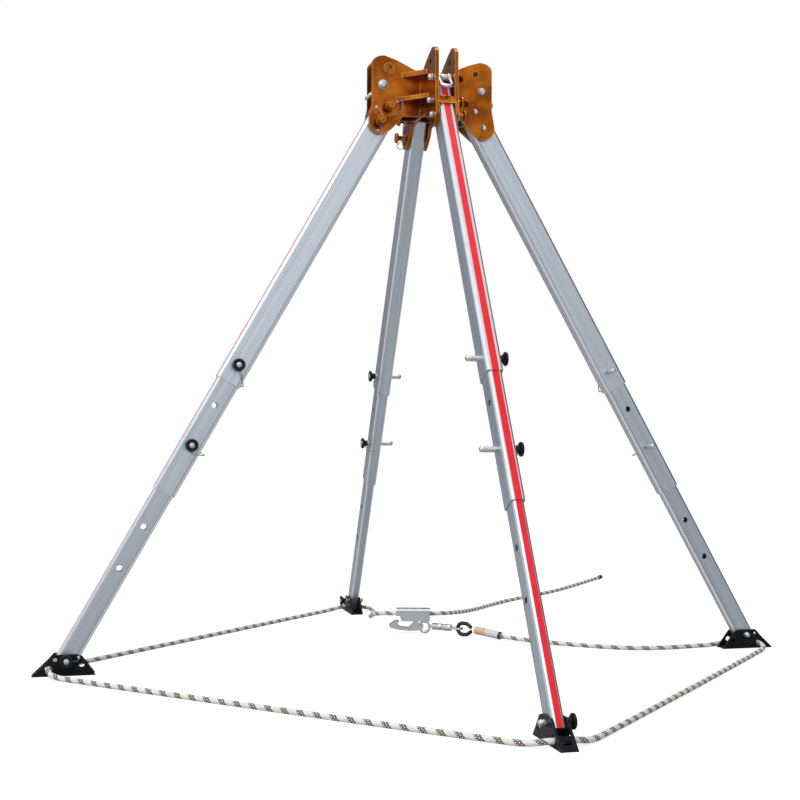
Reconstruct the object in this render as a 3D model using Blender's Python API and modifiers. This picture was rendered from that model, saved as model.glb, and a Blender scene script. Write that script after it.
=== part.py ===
"""Rescue quadpod: an amber head of paired plates, four telescoping legs, hinged steel feet, and the
rope that ties the feet together through a rope grab.

Metres, +Z up. The origin is the middle of the ground between the feet. The legs point along +X, +Y,
-X and -Y and are alike, so each piece is made once in the place of the +X leg and turned about Z.
"""
import math

import bmesh
import bpy
from mathutils import Matrix, Vector

# Frame
LEGS = {"right": 0, "back": 90, "left": 180, "front": 270}
LEG_ANGLE = math.radians(29.6)
PIVOT_RADIUS = 0.1208
PIVOT_HEIGHT = 1.2045
GAP = 0.0003

# Telescoping leg sections, measured down the leg from the pivot
OUTER_WIDTH, OUTER_DEPTH = 0.034, 0.056
WALL = 0.0024
SECTION_PLAY = 0.0004
CORNER_RADIUS = 0.006
HOLE_PITCH = 0.100
UPPER_PIN_AT = 0.631
ABOVE_PIVOT = 0.060
OUTER_END = 0.673
MIDDLE_TOP, MIDDLE_END = 0.117, 0.947
INNER_TOP = 0.510
FOOT_PIN_HEIGHT = 0.033
BELOW_FOOT_PIN = 0.016
CAP_THICKNESS = 0.003

# Pins
PIN_RADIUS = 0.006
PIN_HOLE_RADIUS = 0.0067
PIN_SIDES = 10
LOCK_SHANK = 0.064
LOCK_STEM, LOCK_FLANGE = 0.012, 0.008
LOCK_STEM_RADIUS, LOCK_FLANGE_RADIUS = 0.007, 0.014
FOOT_SHANK = 0.045

# Head brackets, measured up from the pivots and out or in from them
PLATE_GAP, PLATE_THICKNESS = 0.036, 0.008
CORE_HALF = 0.0297
HEAD_BOTTOM = 0.0175
PLATE_EDGE_OUT, PLATE_EDGE_LOW, PLATE_EDGE_HIGH = 0.0196, 0.0399, 0.1308
PEAK_IN, PEAK_UP = 0.0092, 0.0189
LOBE_RADIUS = 0.0265
ANGLE_PIN_UP_LEG = 0.0415
SPREAD_LIMIT = math.radians(20)
BOLT_IN, BOLT_UP = 0.0060, 0.0838
BOLT_RADIUS = 0.005
RIG_HOLE_IN, RIG_HOLE_DOWN = 0.0198, 0.0280
BOSS_RADIUS, BOSS_HEIGHT = 0.012, 0.0015
STOP_LOW, STOP_HIGH, STOP_THICK = 0.006, 0.026, 0.0045
TOP_PLATE_LOW, TOP_PLATE_THICK, TOP_PLATE_REACH = 0.1030, 0.010, 0.072
LEDGE_LOW, LEDGE_THICK, LEDGE_REACH = 0.0475, 0.009, 0.085
STRIP_REACH = 0.048

# Shackle
SHACKLE_ROD = 0.0045
SHACKLE_HALF = 0.0125
SHACKLE_LENGTH = 0.041
SHACKLE_LEAN = math.radians(50)
EYE_RADIUS, EYE_WIDTH = 0.0095, 0.010

# Foot, its lengths measured outwards and inwards from its pin
FOOT_OUTER, FOOT_INNER = 0.0707, 0.0603
CHEEK_THICKNESS = 0.004
CHEEK_PLAY = 0.0005
FOOT_TOP = 0.0445
SOLE_THICKNESS = 0.004
ROPE_HOLE_IN, ROPE_HOLE_HEIGHT, ROPE_HOLE_RADIUS = 0.035, 0.0135, 0.0085
WALL_TOP, WALL_SLANT = 0.021, 0.0225

# Rope and what is on it
ROPE_RADIUS = 0.0055
GRAB_TURN = math.radians(-15.6)
GRAB_CENTRE = Vector((0.069, 0.381, 0.0))
GRAB_HALF_LENGTH, GRAB_HALF_WIDTH, GRAB_WALL = 0.043, 0.0117, 0.003
GRAB_LOW, GRAB_TOP = 0.031, 0.0640
ROPE_IN_GRAB = 0.050
LEVER_INSIDE, LEVER_THICKNESS = 0.0054, 0.003
RING_RADIUS, RING_WIRE = 0.013, 0.003
RING_PIN_AT = (0.0222, 0.0165)
CHAIN_HEIGHT = 0.0195
LINK_ROD = 0.0025
LINK_BODY_RADIUS, LINK_BODY_START, LINK_BODY_END = 0.0085, 0.009, 0.062
THIMBLE_ROD, THIMBLE_CENTRE = 0.0048, 0.1015
SLEEVE_START, SLEEVE_RADIUS = 0.1285, 0.0095
SLEEVE_END = Vector((0.2523, 0.2237, 0.0105))
SOCKET_DEPTH = 0.010
END_LENGTH, END_WALL = 0.030, 0.0013
LANYARD_RADIUS = 0.0009

AMBER = (0.33, 0.115, 0.008)
SILVER = (0.72, 0.73, 0.75)
ALLOY = (0.66, 0.70, 0.75)
BLACK = (0.018, 0.018, 0.020)
STEEL_BLACK = (0.030, 0.031, 0.034)
ROPE_WHITE = (0.80, 0.77, 0.71)
ORANGE = (0.75, 0.30, 0.18)

for old in list(bpy.data.objects):
    bpy.data.objects.remove(old, do_unlink=True)

part = bpy.data.collections.new("rescue_quadpod")
bpy.context.scene.collection.children.link(part)


def make_material(name, colour, roughness, metallic):
    material = bpy.data.materials.new(name)
    material.use_nodes = True
    shader = material.node_tree.nodes["Principled BSDF"]
    shader.inputs["Base Color"].default_value = (*colour, 1.0)
    shader.inputs["Roughness"].default_value = roughness
    shader.inputs["Metallic"].default_value = metallic
    return material


MATERIALS = {
    "amber_metal": make_material("amber_metal", AMBER, 0.42, 0.85),
    "silver_metal": make_material("silver_metal", SILVER, 0.28, 1.0),
    "leg_alloy": make_material("leg_alloy", ALLOY, 0.38, 0.9),
    "black_knob": make_material("black_knob", BLACK, 0.45, 0.0),
    "black_steel": make_material("black_steel", STEEL_BLACK, 0.5, 0.6),
    "rope_white": make_material("rope_white", ROPE_WHITE, 0.85, 0.0),
    "thimble_black": make_material("thimble_black", BLACK, 0.55, 0.0),
    "sleeve_orange": make_material("sleeve_orange", ORANGE, 0.7, 0.0),
}


# Mesh tools

def weld(mesh, distance=1e-6):
    """Closes the loose seams of a mesh and turns its faces outwards."""
    shape = bmesh.new()
    shape.from_mesh(mesh)
    bmesh.ops.remove_doubles(shape, verts=shape.verts, dist=distance)
    bmesh.ops.dissolve_degenerate(shape, edges=shape.edges, dist=distance)
    bmesh.ops.recalc_face_normals(shape, faces=shape.faces)
    shape.to_mesh(mesh)
    shape.free()
    return mesh


def evaluated(thing):
    """The finished mesh of a helper object, which is then removed."""
    bpy.context.scene.collection.objects.link(thing)
    graph = bpy.context.evaluated_depsgraph_get()
    mesh = bpy.data.meshes.new_from_object(thing.evaluated_get(graph))
    bpy.data.objects.remove(thing, do_unlink=True)
    return weld(mesh)


def prism(loops, thickness):
    """A flat outline, with its holes, in the XY plane, centred on it and as thick as stated along Z."""
    curve = bpy.data.curves.new("outline", "CURVE")
    curve.dimensions = "2D"
    curve.fill_mode = "BOTH"
    curve.extrude = thickness / 2
    for loop in loops:
        spline = curve.splines.new("POLY")
        spline.points.add(len(loop) - 1)
        for point, (x, y) in zip(spline.points, loop):
            point.co = (x, y, 0, 1)
        spline.use_cyclic_u = True
    return evaluated(bpy.data.objects.new("outline", curve))


def turned(profile, sides=PIN_SIDES):
    """A profile of (radius, height) points, from the top down, turned about Z."""
    mesh = bpy.data.meshes.new("profile")
    points = [(radius, 0, height) for radius, height in profile]
    mesh.from_pydata(points, [(i, i + 1) for i in range(len(points) - 1)], [])
    shape = bpy.data.objects.new("profile", mesh)
    screw = shape.modifiers.new("turn", "SCREW")
    screw.steps = sides
    screw.render_steps = sides
    screw.use_merge_vertices = True
    screw.merge_threshold = 1e-5
    return evaluated(shape)


def tube(points, radius, resolution=2, cyclic=False):
    """A round bar along a line of points, its ends capped."""
    curve = bpy.data.curves.new("bar", "CURVE")
    curve.dimensions = "3D"
    curve.bevel_depth = radius
    curve.bevel_resolution = resolution
    curve.use_fill_caps = True
    spline = curve.splines.new("POLY")
    spline.points.add(len(points) - 1)
    for point, place in zip(spline.points, points):
        point.co = (*place, 1)
    spline.use_cyclic_u = cyclic
    return evaluated(bpy.data.objects.new("bar", curve))


def block(low, high):
    """A box between two corners."""
    mesh = bpy.data.meshes.new("block")
    shape = bmesh.new()
    bmesh.ops.create_cube(shape, size=1)
    size = [b - a for a, b in zip(low, high)]
    middle = [(a + b) / 2 for a, b in zip(low, high)]
    bmesh.ops.scale(shape, vec=size, verts=shape.verts)
    bmesh.ops.translate(shape, vec=middle, verts=shape.verts)
    shape.to_mesh(mesh)
    shape.free()
    return mesh


def moved(mesh, matrix):
    copy = mesh.copy()
    copy.transform(matrix)
    return copy


def together(meshes):
    """Several closed bodies in one mesh."""
    shape = bmesh.new()
    for mesh in meshes:
        shape.from_mesh(mesh)
    joined = bpy.data.meshes.new("joined")
    shape.to_mesh(joined)
    shape.free()
    return joined


def boolean(base, other, operation):
    """The union or difference of two closed meshes."""
    shape = bpy.data.objects.new("base", base)
    tool = bpy.data.objects.new("tool", other)
    bpy.context.scene.collection.objects.link(tool)
    step = shape.modifiers.new("boolean", "BOOLEAN")
    step.operation = operation
    step.solver = "EXACT"
    step.object = tool
    mesh = evaluated(shape)
    bpy.data.objects.remove(tool, do_unlink=True)
    return mesh


def cut(base, cutters):
    return boolean(base, together(cutters), "DIFFERENCE")


def fused(first, *others):
    for other in others:
        first = boolean(first, other, "UNION")
    return first


# Outlines

def arc(centre, radius, start, end, count):
    """count points on an arc, its angles in degrees."""
    angles = [math.radians(start + (end - start) * i / (count - 1)) for i in range(count)]
    return [(centre[0] + radius * math.cos(a), centre[1] + radius * math.sin(a)) for a in angles]


def circle(x, y, radius, sides=PIN_SIDES):
    return arc((x, y), radius, 0, 360, sides + 1)[:-1]


def rounded_box(width, height, radius, steps=3):
    """A rectangle about the origin with round corners."""
    x, y = width / 2 - radius, height / 2 - radius
    corners = [(x, y, 0), (-x, y, 90), (-x, -y, 180), (x, -y, 270)]
    return [p for cx, cy, start in corners for p in arc((cx, cy), radius, start, start + 90, steps)]


# Places

FACE_ALONG_Y = Matrix.Rotation(math.radians(90), 4, "X")
AXIS_ALONG_Y = Matrix.Rotation(math.radians(-90), 4, "X")
LEAN = Matrix.Rotation(-LEG_ANGLE, 4, "Y")
PIVOT = Matrix.Translation((PIVOT_RADIUS, 0, PIVOT_HEIGHT))
ON_LEG = PIVOT @ LEAN

FOOT_PIN_AT = (PIVOT_HEIGHT - FOOT_PIN_HEIGHT) / math.cos(LEG_ANGLE)
FOOT_PIN_RADIUS = PIVOT_RADIUS + FOOT_PIN_AT * math.sin(LEG_ANGLE)
LOWER_PIN_AT = UPPER_PIN_AT + 2 * HOLE_PITCH
MIDDLE_WIDTH = OUTER_WIDTH - 2 * (WALL + SECTION_PLAY)
MIDDLE_DEPTH = OUTER_DEPTH - 2 * (WALL + SECTION_PLAY)
INNER_WIDTH = MIDDLE_WIDTH - 2 * (WALL + SECTION_PLAY)
INNER_DEPTH = MIDDLE_DEPTH - 2 * (WALL + SECTION_PLAY)
PLATE_OUTER = PLATE_GAP / 2 + PLATE_THICKNESS
PEAK_RADIUS = PIVOT_RADIUS - PEAK_IN
PEAK_HEIGHT = PIVOT_HEIGHT + PLATE_EDGE_HIGH + PEAK_UP
RIG_HOLE_AT = PIVOT_RADIUS - RIG_HOLE_IN
RIG_HOLE_HEIGHT = PEAK_HEIGHT - RIG_HOLE_DOWN
BOLT_RADIUS_AT = PIVOT_RADIUS - BOLT_IN
BOLT_HEIGHT = PIVOT_HEIGHT + BOLT_UP
ROPE_HOLE_AT = FOOT_OUTER - ROPE_HOLE_IN


def place(name, mesh, material, matrix=Matrix.Identity(4)):
    """Adds one named piece to the part."""
    piece = bpy.data.objects.new(name, mesh)
    part.objects.link(piece)
    piece.matrix_world = matrix
    if not mesh.materials:
        mesh.materials.append(MATERIALS[material])
    mesh.shade_smooth()
    mesh.set_sharp_from_angle(angle=math.radians(32))
    return piece


def across(x, z, radius, length=0.12):
    """A round cutter along Y through the point (x, z)."""
    return moved(prism([circle(x, z, radius)], length), FACE_ALONG_Y)


# Legs

def leg_tube(width, depth, top, end, holes):
    """A rectangular tube with round corners, from top to end down the leg, drilled across at holes."""
    outside = rounded_box(depth, width, CORNER_RADIUS)
    inside = rounded_box(depth - 2 * WALL, width - 2 * WALL, CORNER_RADIUS - WALL)
    body = moved(prism([outside, inside], end - top), Matrix.Translation((0, 0, -(top + end) / 2)))
    return cut(body, [across(0, -at, PIN_HOLE_RADIUS) for at in holes])


def angle_slot():
    """The curved slot in the top of the leg, along which the angle pin passes as the leg spreads."""
    swing = 90 - math.degrees(SPREAD_LIMIT) - 1
    near, far = ANGLE_PIN_UP_LEG - PIN_HOLE_RADIUS, ANGLE_PIN_UP_LEG + PIN_HOLE_RADIUS
    start = arc((0, 0), ANGLE_PIN_UP_LEG, swing, 90, 2)
    outline = arc((0, 0), far, swing, 90, 6)
    outline += arc(start[1], PIN_HOLE_RADIUS, 90, 270, 7)[1:-1]
    outline += arc((0, 0), near, 90, swing, 6)
    outline += arc(start[0], PIN_HOLE_RADIUS, swing - 180, swing, 7)[1:-1]
    return moved(prism([outline], 0.12), FACE_ALONG_Y)


def outer_tube():
    body = leg_tube(OUTER_WIDTH, OUTER_DEPTH, -ABOVE_PIVOT, OUTER_END, [0, UPPER_PIN_AT])
    return cut(body, [angle_slot()])


def middle_tube():
    holes = [UPPER_PIN_AT + HOLE_PITCH * i for i in range(-5, 3)]
    return leg_tube(MIDDLE_WIDTH, MIDDLE_DEPTH, MIDDLE_TOP, MIDDLE_END, holes)


def inner_tube():
    """The lowest section. A plug closes its foot end."""
    end = FOOT_PIN_AT + BELOW_FOOT_PIN
    holes = [UPPER_PIN_AT + HOLE_PITCH * i for i in range(-1, 6)]
    body = leg_tube(INNER_WIDTH, INNER_DEPTH, INNER_TOP, end, [*holes, FOOT_PIN_AT])
    inside = rounded_box(INNER_DEPTH - WALL, INNER_WIDTH - WALL, CORNER_RADIUS - WALL)
    plug = moved(prism([inside], CAP_THICKNESS), Matrix.Translation((0, 0, CAP_THICKNESS / 2 + GAP - end)))
    return fused(body, plug)


# Pins, their shoulder at the origin and their knob above it, each with the thin wire of its lanyard

def with_lanyard(pin, route):
    """Joins a pin and its wire, which ends on the face that the shoulder rests on."""
    return fused(pin, tube([Vector(at) for at in route], LANYARD_RADIUS))


LOCK_LANYARD = [(0.000, 0.004, 0.0080), (0.004, 0.012, 0.0105), (0.009, 0.020, 0.0090),
                (0.012, 0.028, 0.0045), (0.012, 0.034, LANYARD_RADIUS)]
FOOT_LANYARD = [(-0.004, 0.000, 0.0080), (-0.012, 0.000, 0.0105), (-0.018, -0.001, 0.0085),
                (-0.022, -0.002, 0.0045), (-0.024, -0.003, LANYARD_RADIUS)]
HEAD_LANYARD = [(-0.003, 0.000, 0.0100), (-0.011, 0.001, 0.0125), (-0.019, 0.002, 0.0105),
                (-0.025, 0.003, 0.0050), (-0.027, 0.004, LANYARD_RADIUS)]


def lock_pin(shank):
    """A quick release pin with a flared knob."""
    top = LOCK_STEM + LOCK_FLANGE
    return turned([
        (0, top), (LOCK_FLANGE_RADIUS - 0.003, top), (LOCK_FLANGE_RADIUS, top - 0.002),
        (LOCK_FLANGE_RADIUS, top - 0.005), (LOCK_STEM_RADIUS, LOCK_STEM - 0.002), (LOCK_STEM_RADIUS, 0),
        (PIN_RADIUS, 0), (PIN_RADIUS, 0.002 - shank), (0.004, -shank), (0, -shank)])


def head_pin():
    """A pin through the head plates: a collar, a slim stem and a round head."""
    shank = 2 * PLATE_OUTER + 0.008
    return turned([
        (0, 0.0235), (0.0085, 0.0235), (0.0120, 0.0210), (0.0120, 0.0175), (0.0055, 0.0150),
        (0.0055, 0.0050), (0.0072, 0.0050), (0.0072, 0),
        (PIN_RADIUS, 0), (PIN_RADIUS, 0.002 - shank), (0.004, -shank), (0, -shank)])


def shackle_bolt():
    """The bolt that carries the shackle, with its dome head, sleeve and nut."""
    side = PLATE_OUTER + GAP
    sleeve = SHACKLE_HALF - EYE_WIDTH / 2 - GAP
    return turned([
        (0, side + 0.006), (0.0055, side + 0.0055), (0.009, side + 0.003), (0.009, side),
        (BOLT_RADIUS, side), (BOLT_RADIUS, sleeve), (0.008, sleeve), (0.008, -sleeve),
        (BOLT_RADIUS, -sleeve), (BOLT_RADIUS, -side), (0.0078, -side), (0.0078, -side - 0.0065),
        (0.0045, -side - 0.008), (0, -side - 0.008)])


# Head

def bracket_outline():
    """The side view of a head plate: radius and height."""
    lobe = arc((PIVOT_RADIUS, PIVOT_HEIGHT), LOBE_RADIUS, 230, 370, 10)
    edge = PIVOT_RADIUS + PLATE_EDGE_OUT
    wide, edge_top = edge - PEAK_RADIUS, PIVOT_HEIGHT + PLATE_EDGE_HIGH
    shoulder = [(PEAK_RADIUS + wide * x, edge_top + PEAK_UP * z) for x, z in arc((0, 0), 1, 0, 90, 6)]
    start, bottom = CORE_HALF + 2 * GAP, PIVOT_HEIGHT + HEAD_BOTTOM
    slope = [(PIVOT_RADIUS - 0.0345, 0.0078), (PIVOT_RADIUS - 0.0621, 0.0200),
             (PIVOT_RADIUS - 0.0782, 0.0278), (start, 0.0327)]
    return ([(start, bottom), (PIVOT_RADIUS - 0.0506, bottom - 0.002),
             (PIVOT_RADIUS - 0.0414, PIVOT_HEIGHT)] + lobe
            + [(edge, PIVOT_HEIGHT + PLATE_EDGE_LOW)] + shoulder
            + [(radius, PEAK_HEIGHT - down) for radius, down in slope])


ANGLE_PIN = (PIVOT_RADIUS - ANGLE_PIN_UP_LEG * math.sin(LEG_ANGLE),
             PIVOT_HEIGHT + ANGLE_PIN_UP_LEG * math.cos(LEG_ANGLE))


def bracket():
    """Two head plates, the stop across their outer edges and the boss round the rigging hole."""
    holes = [circle(PIVOT_RADIUS, PIVOT_HEIGHT, PIN_HOLE_RADIUS), circle(*ANGLE_PIN, PIN_HOLE_RADIUS),
             circle(BOLT_RADIUS_AT, BOLT_HEIGHT, BOLT_RADIUS + 2 * GAP)]
    plate = moved(prism([bracket_outline(), *holes], PLATE_THICKNESS), FACE_ALONG_Y)
    offset = (PLATE_GAP + PLATE_THICKNESS) / 2
    boss = moved(prism([circle(RIG_HOLE_AT, RIG_HOLE_HEIGHT, BOSS_RADIUS, 16)], 2 * BOSS_HEIGHT),
                 Matrix.Translation((0, PLATE_OUTER, 0)) @ FACE_ALONG_Y)
    near = moved(plate, Matrix.Translation((0, offset, 0)))
    far = moved(plate, Matrix.Translation((0, -offset, 0)))
    half = OUTER_DEPTH / 2 + GAP
    side = PLATE_GAP / 2 + 0.002
    stop = moved(block((half, -side, STOP_LOW), (half + STOP_THICK, side, STOP_HIGH)), ON_LEG)
    body = fused(near, boss, stop, far)
    return cut(body, [across(RIG_HOLE_AT, RIG_HOLE_HEIGHT, PIN_HOLE_RADIUS)])


def four_times(side):
    """Closes an outline from its first quarter, turned about the origin."""
    turns = [(1, 0), (0, 1), (-1, 0), (0, -1)]
    return [(x * c - y * s, x * s + y * c) for c, s in turns for x, y in side]


def top_plate():
    """A level plate over the middle of the head. It is slotted for the brackets: a strip of it reaches in
    between the two plates of each, and the rest fills the corners between them."""
    slot_in, slot_out, start = PLATE_GAP / 2 - GAP, PLATE_OUTER + GAP, CORE_HALF + GAP
    reach = TOP_PLATE_REACH
    outline = four_times([
        (start, -slot_in), (STRIP_REACH, -slot_in), (STRIP_REACH, slot_in), (start, slot_in),
        (start, slot_out), (reach, slot_out), (slot_out, reach), (slot_out, start)])
    middle = PIVOT_HEIGHT + TOP_PLATE_LOW + TOP_PLATE_THICK / 2
    return moved(prism([outline], TOP_PLATE_THICK), Matrix.Translation((0, 0, middle)))


def gussets():
    """The level corner plates lower down, in one piece that the square tube's wall takes up."""
    slot_out, inner = PLATE_OUTER + GAP, CORE_HALF - PLATE_THICKNESS / 4
    reach = LEDGE_REACH
    outline = four_times([(inner, slot_out), (reach, slot_out), (slot_out, reach), (slot_out, inner)])
    inside = inner - 0.0025
    hole = [(-inside, -inside), (inside, -inside), (inside, inside), (-inside, inside)]
    middle = PIVOT_HEIGHT + LEDGE_LOW + LEDGE_THICK / 2
    return moved(prism([outline, hole], LEDGE_THICK), Matrix.Translation((0, 0, middle)))


def head_core():
    """The square tube in the middle of the head."""
    inner = CORE_HALF - PLATE_THICKNESS
    height = TOP_PLATE_LOW - GAP - HEAD_BOTTOM
    middle = PIVOT_HEIGHT + HEAD_BOTTOM + height / 2
    loops = [rounded_box(2 * CORE_HALF, 2 * CORE_HALF, 0.0005, 2), rounded_box(2 * inner, 2 * inner, 0.003, 3)]
    return moved(prism(loops, height), Matrix.Translation((0, 0, middle)))


# Shackle, hanging from its bolt at the origin

def shackle():
    """A bow shackle: two eyes on the bolt and the bow between them, leaning out from the head."""
    bend = SHACKLE_HALF
    straight = SHACKLE_LENGTH - bend
    bow = [(0, bend, -0.005), (0, bend, -straight / 2)]
    bow += [(0, y, z - straight) for y, z in arc((0, 0), bend, 0, -180, 9)]
    bow += [(0, -bend, -straight / 2), (0, -bend, -0.005)]
    body = tube(bow, SHACKLE_ROD)
    for side in (-1, 1):
        eye = moved(prism([circle(0, 0, EYE_RADIUS, 16)], EYE_WIDTH),
                    Matrix.Translation((0, side * SHACKLE_HALF, 0)) @ FACE_ALONG_Y)
        body = fused(body, eye)
    return cut(body, [across(0, 0, BOLT_RADIUS + 2 * GAP)])


# Foot, X outwards from its pin and Z up from the ground

def foot():
    """Two steel cheeks, the sole, and the sloping outer wall with its slot."""
    half = INNER_WIDTH / 2 + CHEEK_PLAY
    outline = [(-FOOT_INNER, 0), (FOOT_OUTER, 0), (FOOT_OUTER - 0.0325, FOOT_TOP - 0.014),
               (0.0272, FOOT_TOP - 0.0015), (0.0242, FOOT_TOP), (-0.0173, FOOT_TOP),
               (-0.0238, FOOT_TOP - 0.0015), (-0.0298, FOOT_TOP - 0.005)]
    holes = [circle(0, FOOT_PIN_HEIGHT, PIN_HOLE_RADIUS),
             circle(ROPE_HOLE_AT, ROPE_HOLE_HEIGHT, ROPE_HOLE_RADIUS, 14),
             circle(0.0285 - FOOT_INNER, 0.019, 0.0065), circle(0.0227, 0.034, 0.0045, 8)]
    cheek = moved(prism([outline, *holes], CHEEK_THICKNESS), FACE_ALONG_Y)
    offset = half + CHEEK_THICKNESS / 2
    near = moved(cheek, Matrix.Translation((0, offset, 0)))
    far = moved(cheek, Matrix.Translation((0, -offset, 0)))
    inside = half + 0.001
    sole = block((0.004 - FOOT_INNER, -inside, 0), (FOOT_OUTER - 0.007, inside, SOLE_THICKNESS))
    wall_in = FOOT_OUTER - WALL_SLANT
    wall_outline = [(FOOT_OUTER - 0.0005, 0), (wall_in, WALL_TOP), (wall_in - 0.004, WALL_TOP - 0.001),
                    (FOOT_OUTER - 0.007, 0)]
    wall = moved(prism([wall_outline], 2 * inside), FACE_ALONG_Y)
    slope = math.atan2(WALL_TOP, -WALL_SLANT)
    middle = Vector((FOOT_OUTER, 0, 0)).lerp(Vector((wall_in, 0, WALL_TOP)), 0.58)
    turn = Matrix.Translation(middle) @ Matrix.Rotation(-slope, 4, "Y")
    slot = moved(prism([rounded_box(0.010, 0.019, 0.0045)], 0.02), turn)
    return fused(near, fused(sole, cut(wall, [slot])), far)


# Rope and the gear on it

def smooth(route, count=8):
    """Points along a smooth curve through the route, count of them to each of its spans."""
    line = [route[0], *route, route[-1]]
    points = []
    for before, start, end, after in zip(line, line[1:], line[2:], line[3:]):
        span = (end - start).length
        leave = (end - before) * (span / (span + (start - before).length))
        arrive = (after - start) * (span / (span + (after - end).length))
        for i in range(count):
            b = i / count
            a = 1 - b
            points.append(start * (a * a * (1 + 2 * b)) + leave * (a * a * b)
                          + end * (b * b * (1 + 2 * a)) - arrive * (a * b * b))
    points.append(route[-1])
    return points


def thinned(points, turn=11):
    """The points of a line where it has turned by so many degrees since the last one kept."""
    kept = [points[0]]
    turned_by = 0
    for before, here, after in zip(points, points[1:], points[2:]):
        turned_by += math.degrees((here - before).angle(after - here, 0))
        if turned_by >= turn:
            kept.append(here)
            turned_by = 0
    return [*kept, points[-1]]


# The grab stands upright on its lever. X runs along the rope, and the origin is on the ground.
GRAB = Matrix.Translation(GRAB_CENTRE) @ Matrix.Rotation(GRAB_TURN, 4, "Z")
RING_CENTRE = GRAB @ Vector((RING_PIN_AT[0] + 0.0069, -0.0031, RING_PIN_AT[1]))
TO_SLEEVE = SLEEVE_END - RING_CENTRE
RING_TURN = (math.atan2(TO_SLEEVE.y, TO_SLEEVE.x) + GRAB_TURN) / 2
CHAIN_START = RING_CENTRE + RING_RADIUS * Vector((math.cos(RING_TURN), math.sin(RING_TURN), 0))
CHAIN_LENGTH = (SLEEVE_END - CHAIN_START).to_2d().length
CHAIN_TURN = math.atan2(SLEEVE_END.y - CHAIN_START.y, SLEEVE_END.x - CHAIN_START.x)
CHAIN = (Matrix.Translation((CHAIN_START.x, CHAIN_START.y, CHAIN_HEIGHT))
         @ Matrix.Rotation(CHAIN_TURN, 4, "Z"))
SLEEVE_DROP = math.atan2(CHAIN_HEIGHT - SLEEVE_END.z, CHAIN_LENGTH - SLEEVE_START)
SLEEVE_LENGTH = (CHAIN_LENGTH - SLEEVE_START) / math.cos(SLEEVE_DROP)
SLEEVE = CHAIN @ Matrix.Translation((SLEEVE_START, 0, 0)) @ Matrix.Rotation(SLEEVE_DROP, 4, "Y")


def foot_route(leg):
    """The rope through one foot, from the clockwise side to the other."""
    side = [(ROPE_HOLE_AT - 0.032, 0.078, 0.0), (ROPE_HOLE_AT - 0.0075, 0.047, 0.0025),
            (ROPE_HOLE_AT, 0.0175, 0.0056)]
    places = [(r, -t, z) for r, t, z in side] + [(r, t, z) for r, t, z in reversed(side)]
    spin = Matrix.Rotation(math.radians(LEGS[leg]), 4, "Z")
    return [spin @ Vector((r + FOOT_PIN_RADIUS, t, z + ROPE_RADIUS)) for r, t, z in places]


def rope_route():
    """From the free end through the grab and the four feet to the sleeve."""
    grab_end = GRAB_HALF_LENGTH + 0.004
    route = [Vector(at) for at in (
        (1.015, 1.400, ROPE_RADIUS + END_WALL), (0.741, 1.100, ROPE_RADIUS), (0.543, 0.930, ROPE_RADIUS),
        (0.4463, 0.8342, ROPE_RADIUS + 0.001), (0.3235, 0.6463, 0.0184), (0.2329, 0.4951, 0.0337),
        (0.1602, 0.3909, 0.0470))]
    route += [GRAB @ Vector((x, 0, ROPE_IN_GRAB)) for x in (grab_end, 0.030, -0.030, -grab_end)]
    route += [Vector(at) for at in (
        (-0.010, 0.430, 0.0455), (-0.012, 0.500, 0.0320), (0.008, 0.600, 0.0140), (0.038, 0.700, 0.0065),
        (0.054, 0.765, ROPE_RADIUS), (0.049, 0.803, 0.0085))]
    route += foot_route("back")[2:]
    for leg in ("left", "front", "right"):
        route += foot_route(leg)
    route = route[:-2]
    route += [Vector(at) for at in (
        (0.814, 0.043, 0.0080), (0.792, 0.0545, ROPE_RADIUS), (0.755, 0.042, ROPE_RADIUS),
        (0.700, 0.019, ROPE_RADIUS), (0.520, 0.016, ROPE_RADIUS), (0.360, 0.123, ROPE_RADIUS))]
    route += [SLEEVE @ Vector((SLEEVE_LENGTH + 0.012, 0, 0)),
              SLEEVE @ Vector((SLEEVE_LENGTH - SOCKET_DEPTH + GAP, 0, 0))]
    return route


def grab_body():
    """A channel over the rope, slanted at one end, with its two rivets."""
    inside = GRAB_HALF_WIDTH - GRAB_WALL
    ceiling = GRAB_TOP - GRAB_WALL
    round_top = [(y, z + GRAB_TOP - 0.008) for y, z in rounded_box(2 * GRAB_HALF_WIDTH, 0.016, 0.006)
                 if z > 0]
    outline = round_top + [
        (-GRAB_HALF_WIDTH, GRAB_LOW), (-inside, GRAB_LOW), (-inside, ceiling - 0.004),
        (-inside + 0.003, ceiling), (inside - 0.003, ceiling), (inside, ceiling - 0.004),
        (inside, GRAB_LOW), (GRAB_HALF_WIDTH, GRAB_LOW)]
    along_x = Matrix.Rotation(math.radians(90), 4, "Z") @ FACE_ALONG_Y
    body = moved(prism([outline], 2 * GRAB_HALF_LENGTH), along_x)
    corner = [(-0.050, 0.020), (-0.027, 0.020), (-0.033, 0.044), (-0.050, 0.044)]
    slant = moved(prism([corner], 0.05), FACE_ALONG_Y)
    rivets = [moved(prism([circle(x, z, 0.0042, 8)], 2 * GRAB_HALF_WIDTH + 0.002), FACE_ALONG_Y)
              for x, z in ((-0.0285, 0.0400), (0.016, 0.0365))]
    return fused(cut(body, [slant]), *rivets)


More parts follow.
